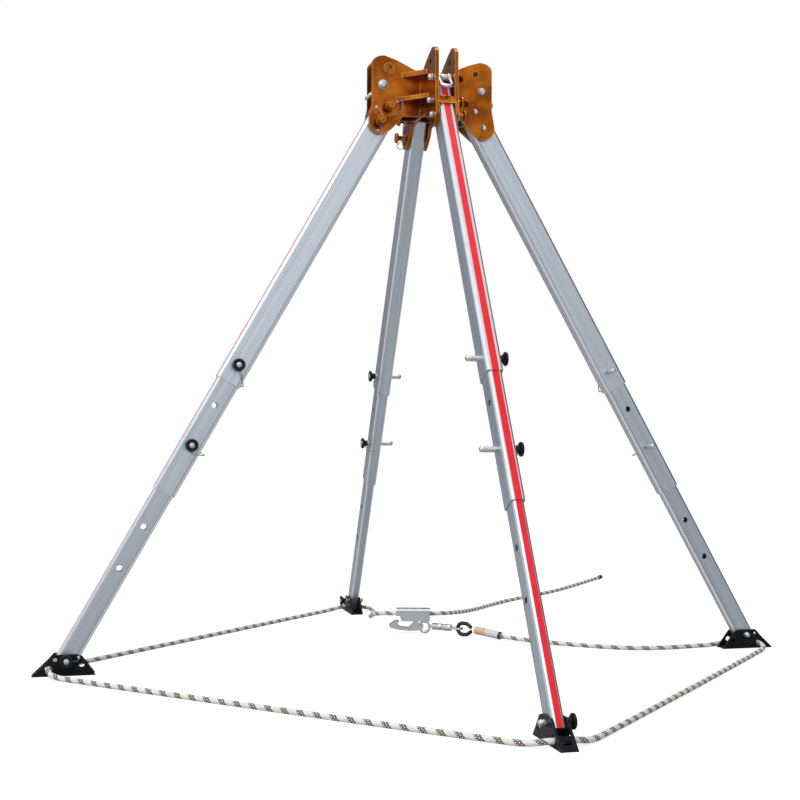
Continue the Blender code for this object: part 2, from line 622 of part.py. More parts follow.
def grab_lever():
    """Two open plates under the channel, joined by rivets and by the pin that the ring hangs on."""
    outline = [(-0.062, 0.022), (-0.059, 0.014), (-0.034, 0.0085), (-0.008, 0.0065), (0.012, 0.0075),
               (0.0255, 0.0125), (0.0270, 0.0180), (0.0235, 0.0215), (0.0150, 0.0230), (0.0120, 0.0300),
               (0.0030, 0.0300), (-0.0020, 0.0245), (-0.0120, 0.0150), (-0.0340, 0.0165), (-0.0400, 0.0220),
               (-0.0360, 0.0300), (-0.0400, 0.0330), (-0.0460, 0.0320)]
    offset = LEVER_INSIDE + LEVER_THICKNESS / 2
    plate = moved(prism([outline], LEVER_THICKNESS), FACE_ALONG_Y)
    pins = [((-0.050, 0.0225), 0.0035), ((0.004, 0.0175), 0.0035), (RING_PIN_AT, LINK_ROD)]
    width = 2 * (LEVER_INSIDE + LEVER_THICKNESS) + 0.002
    rods = [moved(prism([circle(*at, radius, 8)], width), FACE_ALONG_Y) for at, radius in pins]
    return fused(moved(plate, Matrix.Translation((0, offset, 0))),
                 moved(plate, Matrix.Translation((0, -offset, 0))), *rods)


def ring():
    points = [(x, 0, z) for x, z in circle(0, 0, RING_RADIUS, 16)]
    return tube(points, RING_WIRE, cyclic=True)


def link():
    """A swivel: a round body with a loop at each end, drawn along X from the ring's wire."""
    arm, far_arm = 0.0070, THIMBLE_ROD + LINK_ROD + 2 * GAP
    first = RING_WIRE + LINK_ROD + 5 * GAP
    last = THIMBLE_CENTRE - 0.0205 + THIMBLE_ROD + LINK_ROD + 0.0045
    root_in, root_out = LINK_BODY_START + 0.001, LINK_BODY_END - 0.003
    left = [(x - first + arm, y, 0) for x, y in arc((0, 0), arm, 90, 270, 7)]
    right = [(x + last - far_arm, y, 0) for x, y in arc((0, 0), far_arm, -90, 90, 7)]
    loops = [tube([(root_in, arm, 0), *left, (root_in, -arm, 0)], LINK_ROD),
             tube([(root_out, -far_arm, 0), *right, (root_out, far_arm, 0)], LINK_ROD)]
    radius, neck = LINK_BODY_RADIUS, LINK_BODY_RADIUS - 0.002
    profile = [(0, LINK_BODY_END), (radius - 0.001, LINK_BODY_END), (radius, LINK_BODY_END - 0.002),
               (radius, 0.0410), (neck, 0.0395), (neck, 0.0365), (radius, 0.0350),
               (radius, LINK_BODY_START + 0.002), (radius - 0.001, LINK_BODY_START), (0, LINK_BODY_START)]
    body = moved(turned(profile, 14), Matrix.Rotation(math.radians(90), 4, "Y"))
    return fused(body, *loops)


def thimble():
    """The eye at the end of the rope, drawn along X about its centre."""
    tip = SLEEVE_START - THIMBLE_CENTRE - SLEEVE_RADIUS * math.sin(SLEEVE_DROP) - GAP
    upper = [(tip, 0, 0.0053), (tip - 0.003, 0, 0.0055), (0.0150, 0, 0.0092), (0.0080, 0, 0.0125),
             (0.0, 0, 0.0140)]
    bow = [(x - 0.0065, 0, z) for x, z in arc((0, 0), 0.0140, 95, 265, 9)]
    return tube([*upper, *bow, *[(x, y, -z) for x, y, z in reversed(upper)]], THIMBLE_ROD)


def socket_sleeve(length, radius, bore):
    """A round sleeve along X, closed at the origin, with a socket in its far end."""
    floor = length - SOCKET_DEPTH
    profile = [(0, floor), (bore, floor), (bore, length), (radius - 0.001, length),
               (radius, length - 0.001), (radius, 0.001), (radius - 0.001, 0), (0, 0)]
    return moved(turned(profile, 12), Matrix.Rotation(math.radians(90), 4, "Y"))


# The four legs and their part of the head

FOOT_PIN = Matrix.Translation((FOOT_PIN_RADIUS, 0, FOOT_PIN_HEIGHT))
BOLT = Matrix.Translation((BOLT_RADIUS_AT, 0, BOLT_HEIGHT))
bracket_mesh = moved(bracket(), PIVOT.inverted())
head_pin_mesh = with_lanyard(head_pin(), HEAD_LANYARD)
lock_pin_mesh = with_lanyard(lock_pin(LOCK_SHANK), LOCK_LANYARD)
foot_pin_mesh = with_lanyard(lock_pin(FOOT_SHANK), FOOT_LANYARD)
bolt_mesh = moved(shackle_bolt(), AXIS_ALONG_Y)
shackle_mesh = shackle()
tube_meshes = {"outer_tube": outer_tube(), "middle_tube": middle_tube(), "inner_tube": inner_tube()}
foot_mesh = moved(foot(), Matrix.Translation((0, 0, -FOOT_PIN_HEIGHT)))


def seat(side):
    """Turns a pin to lie across the leg, its shoulder clear of a face at this distance from the middle."""
    return Matrix.Translation((0, side + GAP, 0)) @ AXIS_ALONG_Y


for leg, azimuth in LEGS.items():
    spin = Matrix.Rotation(math.radians(azimuth), 4, "Z")
    angle_pin_at = Matrix.Translation((ANGLE_PIN[0], 0, ANGLE_PIN[1]))
    place(f"{leg}_bracket", bracket_mesh, "amber_metal", spin @ PIVOT)
    place(f"{leg}_pivot_pin", head_pin_mesh, "amber_metal", spin @ PIVOT @ seat(PLATE_OUTER))
    place(f"{leg}_angle_pin", head_pin_mesh, "amber_metal", spin @ angle_pin_at @ seat(PLATE_OUTER))
    place(f"{leg}_shackle_bolt", bolt_mesh, "silver_metal", spin @ BOLT)
    place(f"{leg}_shackle", shackle_mesh, "silver_metal", spin @ BOLT @ Matrix.Rotation(-SHACKLE_LEAN, 4, "Y"))
    for name, mesh in tube_meshes.items():
        place(f"{leg}_{name}", mesh, "leg_alloy", spin @ ON_LEG)
    for name, at, width in (("upper", UPPER_PIN_AT, OUTER_WIDTH), ("lower", LOWER_PIN_AT, MIDDLE_WIDTH)):
        place(f"{leg}_{name}_lock_pin", lock_pin_mesh, "black_knob",
              spin @ ON_LEG @ Matrix.Translation((0, 0, -at)) @ seat(width / 2))
    foot_side = INNER_WIDTH / 2 + CHEEK_PLAY + CHEEK_THICKNESS
    place(f"{leg}_foot_pin", foot_pin_mesh, "black_knob", spin @ FOOT_PIN @ seat(foot_side))
    place(f"{leg}_foot", foot_mesh, "black_steel", spin @ FOOT_PIN)

# The middle of the head

place("head_core", fused(head_core(), gussets()), "amber_metal")
place("head_top_plate", top_plate(), "amber_metal")

# The rope and its gear

rope_line = thinned(smooth(rope_route()))
place("rope", tube(rope_line, ROPE_RADIUS, 4), "rope_white")
back_along = (rope_line[1] - rope_line[0]).to_track_quat("X", "Z").to_matrix().to_4x4()
end_back = Matrix.Translation((SOCKET_DEPTH - GAP - END_LENGTH, 0, 0))
end_start = Matrix.Translation(rope_line[0]) @ back_along @ end_back
rope_end_mesh = socket_sleeve(END_LENGTH, ROPE_RADIUS + END_WALL, ROPE_RADIUS + GAP)
place("rope_end", rope_end_mesh, "thimble_black", end_start)
place("grab_body", grab_body(), "silver_metal", GRAB)
place("grab_lever", grab_lever(), "silver_metal", GRAB)
place("ring", ring(), "silver_metal", Matrix.Translation(RING_CENTRE) @ Matrix.Rotation(RING_TURN, 4, "Z"))
place("link", link(), "silver_metal", CHAIN)
place("thimble", thimble(), "thimble_black", CHAIN @ Matrix.Translation((THIMBLE_CENTRE, 0, 0)))
place("sleeve", socket_sleeve(SLEEVE_LENGTH, SLEEVE_RADIUS, ROPE_RADIUS + 0.0006), "sleeve_orange", SLEEVE)
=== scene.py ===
"""Looks of the rescue quadpod: lathed pins and knobs, reflective tape, braided rope and worn metal."""
import math

import bmesh
import bpy
from mathutils import Matrix, Vector


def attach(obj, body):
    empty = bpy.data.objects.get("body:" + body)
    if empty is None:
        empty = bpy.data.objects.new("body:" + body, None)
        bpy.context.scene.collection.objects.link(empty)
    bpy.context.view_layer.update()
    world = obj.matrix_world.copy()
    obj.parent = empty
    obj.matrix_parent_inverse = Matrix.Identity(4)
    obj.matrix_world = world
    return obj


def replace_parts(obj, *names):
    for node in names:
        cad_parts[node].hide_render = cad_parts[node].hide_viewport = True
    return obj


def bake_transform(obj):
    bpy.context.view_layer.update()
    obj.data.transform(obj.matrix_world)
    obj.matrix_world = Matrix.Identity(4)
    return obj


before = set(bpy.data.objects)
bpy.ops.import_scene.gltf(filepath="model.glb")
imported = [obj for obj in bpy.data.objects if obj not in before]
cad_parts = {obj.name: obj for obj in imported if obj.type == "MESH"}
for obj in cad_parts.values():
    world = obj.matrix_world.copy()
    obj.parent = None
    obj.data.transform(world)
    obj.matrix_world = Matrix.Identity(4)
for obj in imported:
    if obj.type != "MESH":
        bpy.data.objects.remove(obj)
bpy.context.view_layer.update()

LEGS = {"right": 0, "back": 90, "left": 180, "front": 270}
LEG_ANGLE = math.radians(29.6)
PIVOT = Vector((0.1208, 0, 1.2045))
ANGLE_PIN = Vector((0.1003, 0, 1.24058))
BOLT = Vector((0.1148, 0, 1.2883))
FOOT_PIN = Vector((0.78631, 0, 0.033))
UPPER_PIN_AT, LOWER_PIN_AT = 0.631, 0.831
PLATE_OUTER = 0.026
OUTER_WIDTH, MIDDLE_WIDTH, INNER_WIDTH = 0.034, 0.0284, 0.0228
HALF_WIDTH = {"outer": OUTER_WIDTH / 2, "middle": MIDDLE_WIDTH / 2, "inner": INNER_WIDTH / 2}
HALF_DEPTH = {"outer": 0.0280, "middle": 0.0252, "inner": 0.0224}
TAPE_HALF = {"outer": 0.0122, "middle": 0.0106, "inner": 0.0084}
RED_HALF = {"outer": 0.0070, "middle": 0.0068, "inner": 0.0058}
TONE = {"outer": 1.0, "middle": 0.93, "inner": 0.88}
LOCK_SHANK, FOOT_SHANK, HEAD_SHANK = 0.064, 0.045, 0.060
FOOT_WALL = 0.0045
SEAT_GAP = 0.0003
SHACKLE_LEAN = math.radians(50)
ROPE_RADIUS = 0.0055
FLECK_PITCH, HALF_ROUND = 0.036, 0.0173
STRAND_RADIUS, STRAND_APART = 0.00062, 0.0007
SHARP_ANGLE = math.radians(34)
ON_LEG = Matrix.Translation(PIVOT) @ Matrix.Rotation(-LEG_ANGLE, 4, "Y")
ACROSS = Matrix.Rotation(math.radians(-90), 4, "X")

looks = bpy.data.collections.new("looks")
bpy.context.scene.collection.children.link(looks)


# Camera

camera = bpy.data.objects.new("camera", bpy.data.cameras.new("camera"))
looks.objects.link(camera)
camera.data.sensor_width = 36
camera.data.lens = 36 * 1287 / 800
camera.data.clip_end = 60
heading, pitch, roll = math.radians(15.6 - 1.2548), math.radians(1.38), 0.0049
camera.matrix_world = (Matrix.Translation((-0.7827, -2.8033, 0.5149)) @ Matrix.Rotation(-heading, 4, "Z")
                       @ Matrix.Rotation(math.radians(90) + pitch, 4, "X") @ Matrix.Rotation(roll, 4, "Z"))
bpy.context.scene.camera = camera


# Shader helpers

class Shader:
    """A node material that is put together from short calls."""

    def __init__(self, name):
        self.material = bpy.data.materials.new(name)
        self.material.use_nodes = True
        self.tree = self.material.node_tree
        self.out = self.tree.nodes["Principled BSDF"]

    def node(self, kind, settings=None, **inputs):
        node = self.tree.nodes.new(kind)
        for key, value in (settings or {}).items():
            setattr(node, key, value)
        for key, value in inputs.items():
            self.feed(node.inputs[key.replace("_", " ")], value)
        return node

    def feed(self, socket, value):
        if isinstance(value, bpy.types.NodeSocket):
            self.tree.links.new(value, socket)
        elif value is not None:
            socket.default_value = value

    def math(self, operation, a, b=None, c=None):
        node = self.tree.nodes.new("ShaderNodeMath")
        node.operation = operation
        for socket, value in zip(node.inputs, (a, b, c)):
            self.feed(socket, value)
        return node.outputs[0]

    def mix(self, factor, a, b):
        node = self.tree.nodes.new("ShaderNodeMix")
        node.data_type = "RGBA"
        self.feed(node.inputs["Factor"], factor)
        self.feed(node.inputs[6], a if isinstance(a, bpy.types.NodeSocket) else (*a, 1))
        self.feed(node.inputs[7], b if isinstance(b, bpy.types.NodeSocket) else (*b, 1))
        return node.outputs[2]

    def span(self, value, low, high, to_low=0.0, to_high=1.0):
        """Maps value from one span to another, clamped."""
        node = self.tree.nodes.new("ShaderNodeMapRange")
        for socket, number in zip(node.inputs, (value, low, high, to_low, to_high)):
            self.feed(socket, number)
        return node.outputs[0]

    def place(self, scale=(1, 1, 1), turn=(0, 0, 0), shift=(0, 0, 0)):
        """The rest position of each point, in metres, turned and then scaled."""
        here = self.node("ShaderNodeTexCoord").outputs["Object"]
        node = self.node("ShaderNodeMapping", {"vector_type": "POINT"}, Vector=here)
        node.inputs["Location"].default_value = shift
        node.inputs["Rotation"].default_value = turn
        node.inputs["Scale"].default_value = scale
        return node.outputs[0]

    def noise(self, where, scale, detail=3, roughness=0.55):
        return self.node("ShaderNodeTexNoise", Vector=where, Scale=scale, Detail=detail,
                         Roughness=roughness).outputs["Fac"]

    def bump(self, height, strength, distance):
        node = self.node("ShaderNodeBump", Height=height, Strength=strength, Distance=distance)
        self.feed(self.out.inputs["Normal"], node.outputs[0])

    def finish(self, colour, roughness, metallic=0.0, **more):
        plain = not isinstance(colour, bpy.types.NodeSocket)
        self.feed(self.out.inputs["Base Color"], (*colour, 1) if plain else colour)
        self.feed(self.out.inputs["Roughness"], roughness)
        self.feed(self.out.inputs["Metallic"], metallic)
        for key, value in more.items():
            self.feed(self.out.inputs[key.replace("_", " ")], value)
        return self.material


def edges(s, width=0.0012):
    """1 on the edges of a piece and 0 on its faces, from its bevelled normals."""
    soft = s.node("ShaderNodeBevel", {"samples": 6}, Radius=width).outputs[0]
    sharp = s.node("ShaderNodeNewGeometry").outputs["Normal"]
    dot = s.node("ShaderNodeVectorMath", {"operation": "DOT_PRODUCT"})
    s.feed(dot.inputs[0], soft)
    s.feed(dot.inputs[1], sharp)
    return s.span(dot.outputs["Value"], 0.985, 0.90)


def amber():
    """Anodised amber, mottled from gold to dark brown, with a patchy painted highlight along the edges."""
    s = Shader("amber_finish")
    where = s.place()
    cloud = s.noise(where, 24, 3, 0.5)
    fine = s.noise(where, 420, 3, 0.7)
    tone = s.span(cloud, 0.38, 0.66)
    colour = s.mix(tone, (0.25, 0.056, 0.003), (0.58, 0.155, 0.010))
    speck = s.noise(where, 170, 3, 0.7)
    colour = s.mix(s.span(speck, 0.58, 0.72, 0, 0.45), colour, (0.150, 0.040, 0.003))
    colour = s.mix(s.span(fine, 0.58, 0.70, 0, 0.3), colour, (0.84, 0.36, 0.05))
    # Painted highlight: the edges are painted bright gold, broken up by noise.
    colour = s.mix(s.math("MULTIPLY", edges(s, 0.0016), s.span(fine, 0.28, 0.50)), colour, (1.0, 0.62, 0.20))
    s.bump(s.math("ADD", cloud, s.math("MULTIPLY", speck, 0.4)), 0.35, 0.0006)
    return s.finish(colour, s.span(fine, 0.3, 0.7, 0.15, 0.30), 0.90)


def bright(name="bright_finish", base=(0.70, 0.71, 0.73), rough=0.26):
    """Bright zinc with a fine streak and small scuffs."""
    s = Shader(name)
    where = s.place()
    fine = s.noise(where, 900, 2, 0.6)
    patch = s.noise(where, 60, 3, 0.6)
    colour = s.mix(s.span(patch, 0.35, 0.7, 0, 0.6), base, tuple(v * 0.72 for v in base))
    # Painted highlight: the edges are painted brighter.
    colour = s.mix(s.math("MULTIPLY", edges(s, 0.0006), 0.6), colour, (0.95, 0.95, 0.96))
    s.bump(fine, 0.12, 0.0002)
    return s.finish(colour, s.span(patch, 0.3, 0.7, rough - 0.06, rough + 0.14), 1.0)


def black_metal():
    """Satin black coat, worn to grey along its edges and dusty in patches."""
    s = Shader("black_finish")
    where = s.place()
    fine = s.noise(where, 700, 3, 0.7)
    patch = s.noise(where, 45, 4, 0.65)
    colour = s.mix(s.span(patch, 0.35, 0.75, 0, 0.5), (0.004, 0.004, 0.006), (0.016, 0.017, 0.020))
    worn = s.math("MULTIPLY", edges(s, 0.0008), s.span(fine, 0.42, 0.6))
    colour = s.mix(worn, colour, (0.20, 0.20, 0.22))
    s.bump(fine, 0.25, 0.0003)
    return s.finish(colour, s.span(patch, 0.3, 0.7, 0.26, 0.44), 0.0, Specular_IOR_Level=0.15)


def black_plastic():
    """Moulded black plastic with a fine grain."""
    s = Shader("knob_plastic")
    where = s.place()
    grain = s.noise(where, 1600, 2, 0.6)
    patch = s.noise(where, 120, 3, 0.6)
    colour = s.mix(s.span(patch, 0.4, 0.7), (0.006, 0.006, 0.007), (0.016, 0.016, 0.018))
    # Painted highlight: the edges are painted lighter grey.
    colour = s.mix(s.math("MULTIPLY", edges(s, 0.0005), 0.5), colour, (0.09, 0.09, 0.095))
    s.bump(grain, 0.3, 0.0002)
    return s.finish(colour, s.span(patch, 0.3, 0.7, 0.34, 0.5), 0.0, Specular_IOR_Level=0.22)


def leg_metal(leg, section, tone):
    """Extruded alloy with lines along its length, a painted highlight along the rounded inner corners and a
    groove beside them painted dark as painted shade. The outward face carries a strip of reflective tape: a
    red middle, pale edges and a fine honeycomb."""
    s = Shader(f"{leg}_{section}_finish")
    spin = s.place(turn=(0, 0, -math.radians(LEGS[leg])))
    shifted = s.node("ShaderNodeVectorMath", {"operation": "SUBTRACT"})
    s.feed(shifted.inputs[0], spin)
    shifted.inputs[1].default_value = PIVOT
    lean = s.node("ShaderNodeVectorRotate", {"rotation_type": "AXIS_ANGLE"}, Vector=shifted.outputs[0],
                  Angle=LEG_ANGLE)
    lean.inputs["Axis"].default_value = (0, 1, 0)
    out, side, up = s.node("ShaderNodeSeparateXYZ", Vector=lean.outputs[0]).outputs
    stretched = s.node("ShaderNodeVectorMath", {"operation": "MULTIPLY"})
    s.feed(stretched.inputs[0], lean.outputs[0])
    stretched.inputs[1].default_value = (1, 1, 0.012)
    lines = s.noise(stretched.outputs[0], 1500, 3, 0.6)
    broad = s.noise(stretched.outputs[0], 160, 2, 0.5)
    scuff = s.noise(lean.outputs[0], 55, 4, 0.65)
    base = tuple(v * tone for v in (0.68, 0.73, 0.80))
    colour = s.mix(s.span(broad, 0.35, 0.65), base, tuple(v * 0.86 for v in base))
    colour = s.mix(s.span(lines, 0.55, 0.75, 0, 0.35), colour, tuple(v * 0.62 for v in base))
    colour = s.mix(s.span(scuff, 0.66, 0.74, 0, 0.5), colour, tuple(v * 0.55 for v in base))
    wide, flank, half, core = (sizes[section] for sizes in (HALF_DEPTH, HALF_WIDTH, TAPE_HALF, RED_HALF))
    on_face = s.math("GREATER_THAN", out, wide - 0.0004)
    across = s.math("ABSOLUTE", side)
    from_flank = s.math("SUBTRACT", flank, across)
    from_inside = s.math("ADD", out, wide)
    # Painted highlight: a band along the rounded inner corners is painted near white.
    painted_corner_highlight = s.math("MULTIPLY", s.span(from_flank, 0.0040, 0.0028), s.span(from_inside, 0.0062, 0.0046))
    colour = s.mix(painted_corner_highlight, colour, (0.97, 0.98, 1.0))
    # A fine groove on the side faces, bumped in and painted dark: painted shade inside the groove.
    beside = s.math("ABSOLUTE", s.math("SUBTRACT", from_inside, 0.0074))
    groove_with_painted_shade = s.math("MULTIPLY", s.span(beside, 0.0010, 0.0004), s.math("LESS_THAN", from_flank, 0.0005))
    colour = s.mix(s.math("MULTIPLY", groove_with_painted_shade, 0.8), colour, tuple(v * 0.30 for v in base))
    taped = s.math("MULTIPLY", on_face, s.math("LESS_THAN", across, half))
    reddish = s.math("LESS_THAN", across, core)
    cells = s.node("ShaderNodeTexVoronoi", {"feature": "DISTANCE_TO_EDGE"}, Vector=lean.outputs[0], Scale=420)
    cell_line = s.span(cells.outputs["Distance"], 0.02, 0.10, 0.30, 0.0)
    fade = s.noise(lean.outputs[0], 14, 2, 0.5)
    red = s.mix(s.span(fade, 0.35, 0.65), (0.86, 0.006, 0.024), (0.90, 0.014, 0.030))
    red = s.mix(cell_line, red, (0.95, 0.10, 0.10))
    pale = s.mix(cell_line, (0.80, 0.66, 0.66), (0.90, 0.84, 0.84))
    tape = s.mix(reddish, pale, red)
    colour = s.mix(taped, colour, tape)
    metal = s.math("SUBTRACT", 0.9, s.math("MULTIPLY", taped, 0.9))
    rough = s.math("ADD", s.span(lines, 0.3, 0.7, 0.27, 0.42), s.math("MULTIPLY", taped, 0.08))
    step = s.math("MULTIPLY", taped, 1.2)
    s.bump(s.math("SUBTRACT", s.math("ADD", lines, step), groove_with_painted_shade), 0.14, 0.0003)
    s.feed(s.out.inputs["Specular IOR Level"], 0.3)
    return s.finish(colour, rough, metal)


def rope_finish():
    """A tight braid, off-white, with crossed black and tan marker yarns at every 36 mm."""
    s = Shader("rope_finish")
    u, v, _ = s.node("ShaderNodeSeparateXYZ", Vector=s.node("ShaderNodeUVMap").outputs[0]).outputs
    braid = []
    for way in (1, -1):
        turn = s.math("ADD", s.math("MULTIPLY", u, 1 / 0.0030), s.math("MULTIPLY", v, 8 * way))
        braid.append(s.math("PINGPONG", turn, 0.5))
    weave = s.math("MULTIPLY", braid[0], braid[1])
    pitch = s.math("DIVIDE", u, FLECK_PITCH)
    along = s.math("MULTIPLY", s.math("SUBTRACT", s.math("FRACT", pitch), 0.5), FLECK_PITCH)
    around = s.math("SUBTRACT", s.math("FRACT", s.math("ADD", s.math("MULTIPLY", v, 2), 0.5)), 0.5)
    ring = s.math("MULTIPLY", around, HALF_ROUND)
    slant = s.math("SUBTRACT", along, s.math("MULTIPLY", ring, 0.9))
    patch = s.math("MULTIPLY", s.math("LESS_THAN", s.math("ABSOLUTE", slant), 0.0078),
                   s.math("LESS_THAN", s.math("ABSOLUTE", ring), 0.0066))
    cell = 0.0034
    first = s.math("FLOOR", s.math("DIVIDE", s.math("ADD", along, ring), cell))
    second = s.math("FLOOR", s.math("DIVIDE", s.math("SUBTRACT", along, ring), cell))
    odd_a = s.math("GREATER_THAN", s.math("FRACT", s.math("MULTIPLY", first, 0.5)), 0.25)
    odd_b = s.math("GREATER_THAN", s.math("FRACT", s.math("MULTIPLY", second, 0.5)), 0.25)
    unlike = s.math("ABSOLUTE", s.math("SUBTRACT", odd_a, odd_b))
    both = s.math("MULTIPLY", odd_a, odd_b)
    dark = s.math("MULTIPLY", patch, unlike)
    tan = s.math("MULTIPLY", patch, both)
    here = s.place()
    dirt = s.noise(here, 90, 4, 0.6)
    white = s.mix(s.span(dirt, 0.35, 0.75), (0.92, 0.90, 0.86), (0.82, 0.79, 0.73))
    # Painted shade: the gaps between the braid's strands are painted darker.
    white = s.mix(s.span(weave, 0.0, 0.12, 0.45, 0.0), white, (0.60, 0.57, 0.52))
    colour = s.mix(tan, white, (0.36, 0.20, 0.06))
    colour = s.mix(dark, colour, (0.012, 0.010, 0.010))
    s.bump(weave, 0.7, 0.0006)
    return s.finish(colour, 0.85, 0.0)


def label_finish():
    """The sleeve on the rope's end: an orange label on one half, pale under a clear cover on the other."""
    s = Shader("label_finish")
    u, v, _ = s.node("ShaderNodeSeparateXYZ", Vector=s.node("ShaderNodeUVMap").outputs[0]).outputs
    share = s.math("DIVIDE", u, SLEEVE_LENGTH)
    print_noise = s.noise(s.place(), 500, 3, 0.6)
    colour = s.mix(s.math("GREATER_THAN", share, 0.42), (0.80, 0.34, 0.20), (0.62, 0.63, 0.68))
    colour = s.mix(s.span(print_noise, 0.45, 0.60, 0, 0.35), colour, (0.86, 0.80, 0.76))
    low = s.math("LESS_THAN", s.math("ABSOLUTE", s.math("SUBTRACT", v, 0.20)), 0.085)
    colour = s.mix(s.math("MULTIPLY", low, 0.92), colour, (0.030, 0.030, 0.032))
    colour = s.mix(s.math("GREATER_THAN", share, 0.90), colour, (0.030, 0.030, 0.032))
    s.bump(print_noise, 0.2, 0.0003)
    return s.finish(colour, 0.35, 0.0, Coat_Weight=0.5, Coat_Roughness=0.12)


def wrap_finish():
    """Black hose over the eye of the rope, finely ribbed."""
    s = Shader("wrap_finish")
    x, _, _ = s.node("ShaderNodeSeparateXYZ", Vector=s.node("ShaderNodeUVMap").outputs[0]).outputs
    rib = s.math("SINE", s.math("MULTIPLY", x, 2 * math.pi / 0.0016))
    grain = s.noise(s.place(), 1200, 2, 0.6)
    # Painted shade: the troughs between the ribs are painted darker than the crests.
    colour = s.mix(s.span(rib, -1, 1), (0.008, 0.008, 0.009), (0.022, 0.022, 0.024))
    s.bump(s.math("ADD", rib, grain), 0.3, 0.0002)
    return s.finish(colour, 0.5, 0.0)


# Mesh helpers

def add(name, mesh, material, body, matrix=None):
    """Adds a piece whose mesh is moved into the object's frame, riding on a body."""
    if matrix is not None:
        mesh.transform(matrix)
    mesh.shade_smooth()
    mesh.set_sharp_from_angle(angle=SHARP_ANGLE)
    piece = bpy.data.objects.new(name, mesh)
    looks.objects.link(piece)
    for entry in material if isinstance(material, (list, tuple)) else [material]:
        mesh.materials.append(entry)
    if body:
        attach(piece, body)
    return piece


def lathe(profile, sides=32, flutes=None):
    """Turns (radius, height, material) points about Z. flutes is a function of the height and the angle that
    gives the share of the radius to keep."""
    mesh = bmesh.new()
    rings = []
    for radius, height, *_ in profile:
        if radius == 0:
            rings.append([mesh.verts.new((0, 0, height))])
            continue
        angles = [2 * math.pi * i / sides for i in range(sides)]
        shares = [flutes(height, a) if flutes else 1 for a in angles]
        rings.append([mesh.verts.new((radius * k * math.cos(a), radius * k * math.sin(a), height))
                      for a, k in zip(angles, shares)])
    for (start, end, step) in zip(rings, rings[1:], profile):
        for i in range(sides):
            j = (i + 1) % sides
            quad = [start[i % len(start)], start[j % len(start)], end[j % len(end)], end[i % len(end)]]
            corners = list(dict.fromkeys(quad))
            if len(corners) > 2:
                face = mesh.faces.new(corners)
                face.material_index = step[2] if len(step) > 2 else 0
    bmesh.ops.remove_doubles(mesh, verts=mesh.verts, dist=1e-7)
    bmesh.ops.recalc_face_normals(mesh, faces=mesh.faces)
    made = bpy.data.meshes.new("lathe")
    mesh.to_mesh(made)
    mesh.free()
    return made


def sweep(points, radius, sides=16, closed=False, cap=True, up=Vector((0, 0, 1))):
    """A round bar along points, its radius one number or one for each point, with the way along it and round
    it as its texture place."""
    mesh = bmesh.new()
    uv = mesh.loops.layers.uv.new("UVMap")
    count = len(points)
    rings, lengths, far = [], [], 0.0
    side = None
    for i, here in enumerate(points):
        before = points[i - 1] if i or closed else here
        after = points[(i + 1) % count] if i < count - 1 or closed else here
        along = (after - before).normalized()
        side = (side or along.cross(up)).copy()
        side = (side - along * side.dot(along)).normalized()
        other = along.cross(side)
        if i:
            far += (here - points[i - 1]).length
        lengths.append(far)
        size = radius[i] if isinstance(radius, list) else radius
        rings.append([mesh.verts.new(here + size * (math.cos(a) * side + math.sin(a) * other))
                      for a in (2 * math.pi * k / sides for k in range(sides))])
    spans = count if closed else count - 1
    for i in range(spans):
        first, last = rings[i], rings[(i + 1) % count]
        low = lengths[i]
        high = lengths[i + 1] if i + 1 < count else far + (points[0] - points[-1]).length
        for k in range(sides):
            m = (k + 1) % sides
            face = mesh.faces.new([first[k], first[m], last[m], last[k]])
            for loop, place in zip(face.loops, ((low, k), (low, k + 1), (high, k + 1), (high, k))):
                loop[uv].uv = (place[0], place[1] / sides)
    if cap and not closed:
        mesh.faces.new(rings[0])
        mesh.faces.new(rings[-1])
    bmesh.ops.recalc_face_normals(mesh, faces=mesh.faces)
    made = bpy.data.meshes.new("sweep")
    mesh.to_mesh(made)
    mesh.free()
    return made


def joined(*meshes):
    """Several meshes in one, each keeping its material numbers."""
    whole = bmesh.new()
    for mesh in meshes:
        whole.from_mesh(mesh)
    made = bpy.data.meshes.new("joined")
    whole.to_mesh(made)
    whole.free()
    return made


def moved(mesh, matrix):
    copy = mesh.copy()
    copy.transform(matrix)
    return copy


def arc(radius, start, end, count):
    angles = [math.radians(start + (end - start) * i / (count - 1)) for i in range(count)]
    return [(radius * math.cos(a), radius * math.sin(a)) for a in angles]


def smooth(route, count=8):
    """Points along a smooth curve through the route, count of them to each of its spans."""
    line = [route[0], *route, route[-1]]
    points = []
    for before, start, end, after in zip(line, line[1:], line[2:], line[3:]):
        span = (end - start).length
        leave = (end - before) * (span / (span + (start - before).length))
        arrive = (after - start) * (span / (span + (after - end).length))
        for i in range(count):
            b = i / count
            a = 1 - b
            points.append(start * (a * a * (1 + 2 * b)) + leave * (a * a * b)
                          + end * (b * b * (1 + 2 * a)) - arrive * (a * b * b))
    points.append(route[-1])
    return points


def even(points, spacing):
    """The same line with points at an even spacing."""
    total = sum((b - a).length for a, b in zip(points, points[1:]))
    count = max(2, round(total / spacing))
    found, far, target = [points[0]], 0.0, total / count
    for a, b in zip(points, points[1:]):
        step = (b - a).length
        while step and far + step >= target * len(found) - 1e-9 and len(found) < count:
            found.append(a.lerp(b, (target * len(found) - far) / step))
        far += step
    return [*found, points[-1]]


# Rope: its route is the one of its solid

